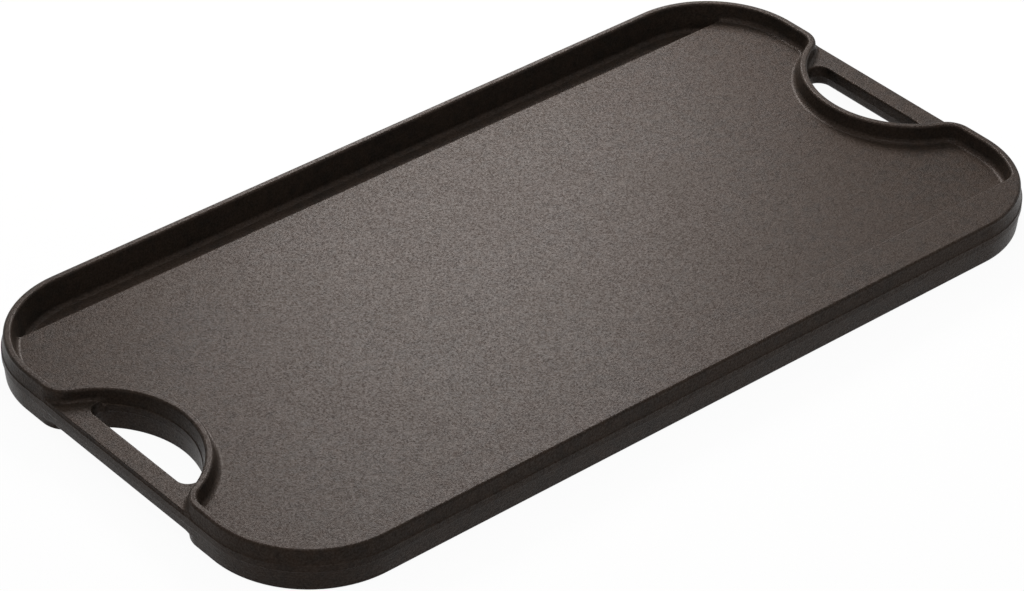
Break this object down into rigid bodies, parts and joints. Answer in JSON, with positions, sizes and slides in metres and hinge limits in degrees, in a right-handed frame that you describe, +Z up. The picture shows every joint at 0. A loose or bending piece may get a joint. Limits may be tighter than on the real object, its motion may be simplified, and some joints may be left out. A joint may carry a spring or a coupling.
{
  "type": "reversible griddle",
  "caption": "Long iron griddle, smooth on one side and ribbed on the other, with a rim, a grease gutter on each side and a cast loop handle in each scalloped end.",
  "frame": {"origin": "on the surface that the griddle stands on, under the middle of the plate", "axes": "+X along the length, from handle to handle; +Y towards the smooth side's gutter; +Z up, out of the smooth side"},
  "size_m": [0.508, 0.2652, 0.0236],
  "materials": {
    "seasoned_iron": "seasoned sand-cast iron, fine pebbled grain, satin sheen"
  },
  "bodies": {
    "root": {"griddle_casting": "seasoned_iron"}
  },
  "joints": []
}
